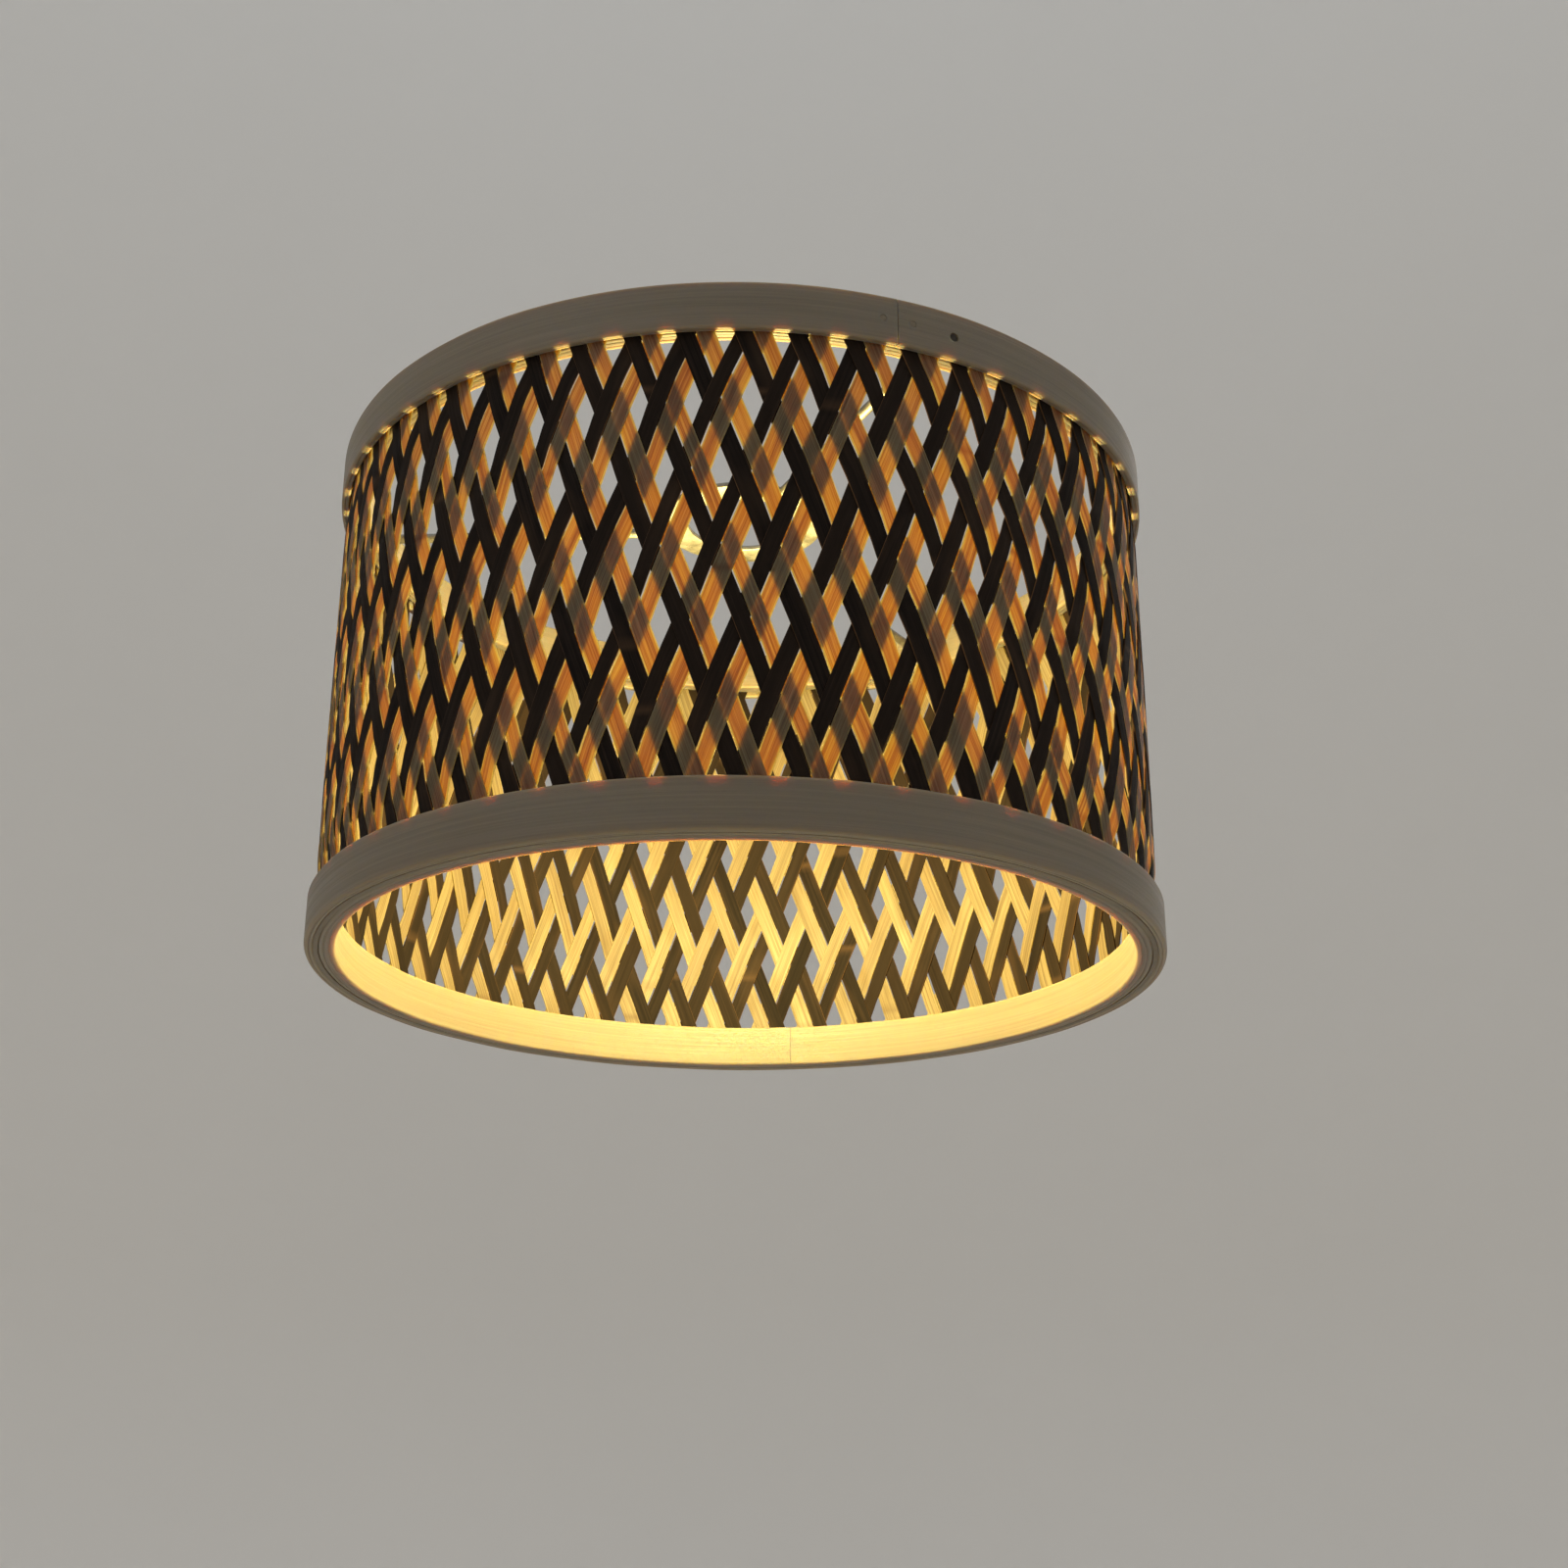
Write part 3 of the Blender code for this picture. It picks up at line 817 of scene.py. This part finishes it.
def build_plug(node, seed):
    """Putty over a seam brad's sunk head, rubbed down just below the band's face."""
    low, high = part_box(node)
    middle = (low + high) / 2
    azimuth = atan2(middle.y, middle.x)
    r = random.Random(seed)
    dish = bmesh.new()
    rings = (
        (0.0, 0.00006),
        (0.0005, 0.00004),
        (0.0009, 0.00001),
        (0.00118, 0.0),
        (0.00126, -0.00007),
        (0.00126, -0.00018),
    )
    sides = 28
    tip = dish.verts.new((-rings[0][1], 0, 0))
    previous = None
    for radius, depth in rings[1:]:
        ring = []
        for k in range(sides):
            a = tau * k / sides
            rough = radius * (1 + r.uniform(-0.012, 0.0))
            ring.append(dish.verts.new((depth, rough * cos(a), rough * sin(a))))
        for k in range(sides):
            m = (k + 1) % sides
            if previous is None:
                dish.faces.new((tip, ring[k], ring[m]))
            else:
                dish.faces.new((previous[k], ring[k], ring[m], previous[m]))
        previous = ring
    dish.faces.new(previous)
    bmesh.ops.recalc_face_normals(dish, faces=dish.faces)
    dish.transform(Matrix.Rotation(azimuth, 4, "Z") @ Matrix.Translation((RADIUS - 0.00014, 0, middle.z)))
    mesh = bpy.data.meshes.new(node + "_putty")
    dish.to_mesh(mesh)
    dish.free()
    mesh.materials.append(PUTTY)
    obj = shade(link(bpy.data.objects.new(node + "_putty", mesh)), 60)
    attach(obj, "root")


# ---------------------------------------------------------------- fitter


def finish_metal(obj, node=None, degrees=35):
    shade(obj, degrees)
    if node:
        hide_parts(node)
    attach(obj, "root")


def build_ring():
    low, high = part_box("fitter_ring")
    outside = high.x
    rounding = 0.0005
    section = arc_points(outside - rounding, low.z + rounding, rounding, 0, -90, 4)
    section += arc_points(RING_HOLE + rounding, low.z + rounding, rounding, -90, -180, 4)
    section += arc_points(RING_HOLE + rounding, high.z - rounding, rounding, 180, 90, 4)
    section += arc_points(outside - rounding, high.z - rounding, rounding, 90, 0, 4)
    rings = 144
    points = []
    for i in range(rings):
        a = tau * i / rings
        points += [(r * cos(a), r * sin(a), z) for r, z in section]
    faces = swept_faces(rings, len(section), closed=True)
    finish_metal(face_outward(mesh_object("fitter_ring_pressed", points, faces, ZINC)), "fitter_ring")


def arm_azimuth(number):
    low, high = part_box(f"fitter_arm_{number}")
    middle = (low + high) / 2
    return atan2(middle.y, middle.x), middle.z


def build_arm(number):
    """A drawn wire with sheared, slightly rounded ends, not quite straight after welding."""
    azimuth, height = arm_azimuth(number)
    end = WALL_INSIDE - 0.0006 - FOOT_DEPTH - 0.0003
    stations = [(0.0, 0.62), (0.0003, 0.86), (0.0008, 1.0)]
    length = end - ARM_START
    stations += [(length * k / 24, 1.0) for k in range(1, 24)]
    stations += [(length - 0.0008, 1.0), (length - 0.0003, 0.86), (length, 0.62)]
    sides = 24
    points = []
    for along, share in stations:
        sag = -0.00022 * sin(pi * along / length)
        drift = 0.00025 * sin(2 * pi * along / length + number)
        for s in range(sides):
            a = tau * s / sides
            sideways = ARM_RADIUS * share * cos(a) + drift
            distance = ARM_START + along
            points.append(
                (
                    distance * cos(azimuth) - sideways * sin(azimuth),
                    distance * sin(azimuth) + sideways * cos(azimuth),
                    height + sag + ARM_RADIUS * share * sin(a),
                )
            )
    obj = mesh_object(f"fitter_arm_{number}_wire", points, swept_faces(len(stations), sides, False), ZINC)
    finish_metal(face_outward(obj), f"fitter_arm_{number}", 60)


def build_foot(number):
    """A stamped plate with rounded corners."""
    low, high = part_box(f"arm_foot_{number}")
    middle = (low + high) / 2
    azimuth = atan2(middle.y, middle.x)
    half_height = (high.z - low.z) / 2
    half_width = 0.0065
    plate = bmesh.new()
    outline = []
    corner = 0.0018
    for cy, cz, start in ((1, 1, 0), (-1, 1, 90), (-1, -1, 180), (1, -1, 270)):
        middle_y = cy * (half_width - corner)
        middle_z = cz * (half_height - corner)
        for y, z in arc_points(middle_y, middle_z, corner, start, start + 90, 5):
            outline.append(plate.verts.new((0.0, y, z)))
    face = plate.faces.new(outline)
    solid = bmesh.ops.extrude_face_region(plate, geom=[face])
    moved = [v for v in solid["geom"] if isinstance(v, bmesh.types.BMVert)]
    bmesh.ops.translate(plate, verts=moved, vec=(FOOT_DEPTH, 0, 0))
    bmesh.ops.recalc_face_normals(plate, faces=plate.faces)
    rim = [e for e in plate.edges if len(e.link_faces) == 2 and any(len(f.verts) > 4 for f in e.link_faces)]
    bmesh.ops.bevel(plate, geom=rim, offset=0.0003, segments=2, affect="EDGES", profile=0.6)
    mesh = bpy.data.meshes.new(f"arm_foot_{number}_plate")
    place = Matrix.Translation((middle.xy.length - FOOT_DEPTH / 2, 0, middle.z))
    matrix = Matrix.Rotation(azimuth, 4, "Z") @ place
    plate.transform(matrix)
    plate.to_mesh(mesh)
    plate.free()
    mesh.materials.append(ZINC)
    finish_metal(link(bpy.data.objects.new(f"arm_foot_{number}_plate", mesh)), f"arm_foot_{number}")


def build_weld(name, centre, stretch, azimuth, seed):
    """A small lumpy bead of weld metal."""
    bead = bmesh.new()
    bmesh.ops.create_icosphere(bead, subdivisions=4, radius=1.0)
    r = random.Random(seed)
    terms = [
        (Vector((r.gauss(0, 2.2), r.gauss(0, 2.2), r.gauss(0, 2.2))), r.uniform(0, tau))
        for _ in range(6)
    ]
    for v in bead.verts:
        lumps = sum(sin(way.dot(v.co) + phase) for way, phase in terms) / 6
        ripple = 0.05 * sin(9 * v.co.y + 3 * v.co.z)
        v.co = v.co * (1 + 0.16 * lumps + ripple)
    bead.transform(
        Matrix.Translation(centre) @ Matrix.Rotation(azimuth, 4, "Z") @ Matrix.Diagonal((*stretch, 1.0))
    )
    mesh = bpy.data.meshes.new(name)
    bead.to_mesh(mesh)
    bead.free()
    mesh.materials.append(WELD)
    finish_metal(link(bpy.data.objects.new(name, mesh)), None, 80)


def build_fitter():
    """The pressed ring, three wire arms with their plates, and the welds that join them."""
    build_ring()
    for number in (1, 2, 3):
        build_arm(number)
        build_foot(number)
        azimuth, height = arm_azimuth(number)
        way = Vector((cos(azimuth), sin(azimuth), 0))
        for k, distance in enumerate((0.0262, 0.0291)):
            centre = way * distance + Vector((0, 0, height + ARM_RADIUS - 0.0002))
            name = f"ring_weld_{number}_{k + 1}"
            build_weld(name, centre, (0.0017, 0.0026, 0.0008), azimuth, 10 * number + k)
        centre = way * (WALL_INSIDE - 0.0027) + Vector((0, 0, height))
        build_weld(f"foot_weld_{number}", centre, (0.0010, 0.0026, 0.0026), azimuth, 10 * number + 5)


def paint_nails():
    """The CAD nails and brads keep their shape and take a worn blued steel."""
    for name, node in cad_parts.items():
        if "nail" in name or "brad" in name:
            for slot in node.material_slots:
                slot.link = "OBJECT"
                slot.material = BLUED


# ---------------------------------------------------------------- studio


def plain_material(name, colour):
    n = Nodes(name)
    place = n.add("TexCoord").outputs["Object"]
    cloud = n.noise(place, 2.0, 3.0)
    shade_of = tuple(c * 0.992 for c in colour)
    n.set(Base_Color=n.ramp(cloud, (0.3, shade_of), (0.7, colour)), Roughness=0.85, Specular_IOR_Level=0.2)
    return n.material


def build_studio():
    """A pale floor that turns up into a pale wall all round, far from the shade."""
    outline = [(0.0, -0.62), (1.0, -0.62), (1.9, -0.62)]
    outline += arc_points(1.9, 0.28, 0.9, -90, 0, 12)[1:]
    outline += [(2.8, 1.2), (2.8, 3.4)]
    rings = 96
    points = [(0.0, 0.0, outline[0][1])]
    for i in range(rings):
        a = tau * i / rings
        points += [(r * cos(a), r * sin(a), z) for r, z in outline[1:]]
    count = len(outline) - 1
    faces = []
    for i in range(rings):
        a = 1 + i * count
        b = 1 + ((i + 1) % rings) * count
        faces.append((0, a, b))
        faces += [(a + j, a + j + 1, b + j + 1, b + j) for j in range(count - 1)]
    floor = mesh_object("studio_floor", points, faces, plain_material("studio_floor", (0.86, 0.82, 0.77)))
    floor.data.polygons.foreach_set("use_smooth", [True] * len(faces))


def area_light(name, place, target, size, energy, colour):
    light = bpy.data.lights.new(name, "AREA")
    light.shape = "DISK"
    light.size = size
    light.energy = energy
    light.color = colour
    obj = link(bpy.data.objects.new(name, light))
    obj.location = place
    obj.rotation_euler = (Vector(target) - Vector(place)).to_track_quat("-Z", "Y").to_euler()
    obj.visible_camera = False


def build_lights():
    """Soft daylight all round, and a warm lamp's light inside the shade without a bulb."""
    bpy.context.scene.view_settings.view_transform = "Standard"
    world = bpy.data.worlds.new("studio")
    bpy.context.scene.world = world
    world.use_nodes = True
    background = world.node_tree.nodes["Background"]
    background.inputs["Color"].default_value = (0.86, 0.93, 1.0, 1.0)
    background.inputs["Strength"].default_value = 0.72
    centre = (0, 0, HEIGHT / 2)
    area_light("key", (-1.1, -1.3, 0.9), centre, 1.1, 2.1, (1.0, 0.97, 0.93))
    area_light("fill", (1.4, -0.8, 0.2), centre, 1.2, 0.8, (0.95, 0.97, 1.0))
    area_light("back", (0.9, 1.5, 1.0), centre, 1.0, 2.4, (1.0, 0.97, 0.93))
    glow = bpy.data.lights.new("lamp_inside", "POINT")
    glow.energy = 4.25
    glow.shadow_soft_size = 0.03
    glow.color = (1.0, 0.80, 0.28)
    lamp = link(bpy.data.objects.new("lamp_inside", glow))
    lamp.location = (0, 0, 0.072)
    lamp.visible_camera = False


def build_camera():
    """Below the shade, in front of it, and looking up at it."""
    pitch = radians(90 + 20.88)
    roll = radians(0.2)
    place = (0.0164, -0.7335, -0.2085)
    data = bpy.data.cameras.new("camera")
    data.lens = 49.37
    data.sensor_width = 36.0
    data.clip_start = 0.02
    data.clip_end = 30.0
    camera = link(bpy.data.objects.new("camera", data))
    turn = Matrix.Rotation(pitch, 4, "X") @ Matrix.Rotation(roll, 4, "Z")
    camera.matrix_world = Matrix.Translation(place) @ turn
    bpy.context.scene.camera = camera


build_camera()
build_weave()
build_hoops()
build_rim_filler("bottom_rim_filler", 0.0001, 0.0030, 31)
build_rim_filler("top_rim_filler", HEIGHT - 0.0030, HEIGHT - 0.0001, 32)
seam_brads = ("top_seam_brad_left", "top_seam_brad_right", "bottom_seam_brad_left", "bottom_seam_brad_right")
for number, brad_node in enumerate(seam_brads):
    build_plug(brad_node, number)
build_fitter()
paint_nails()
build_studio()
build_lights()
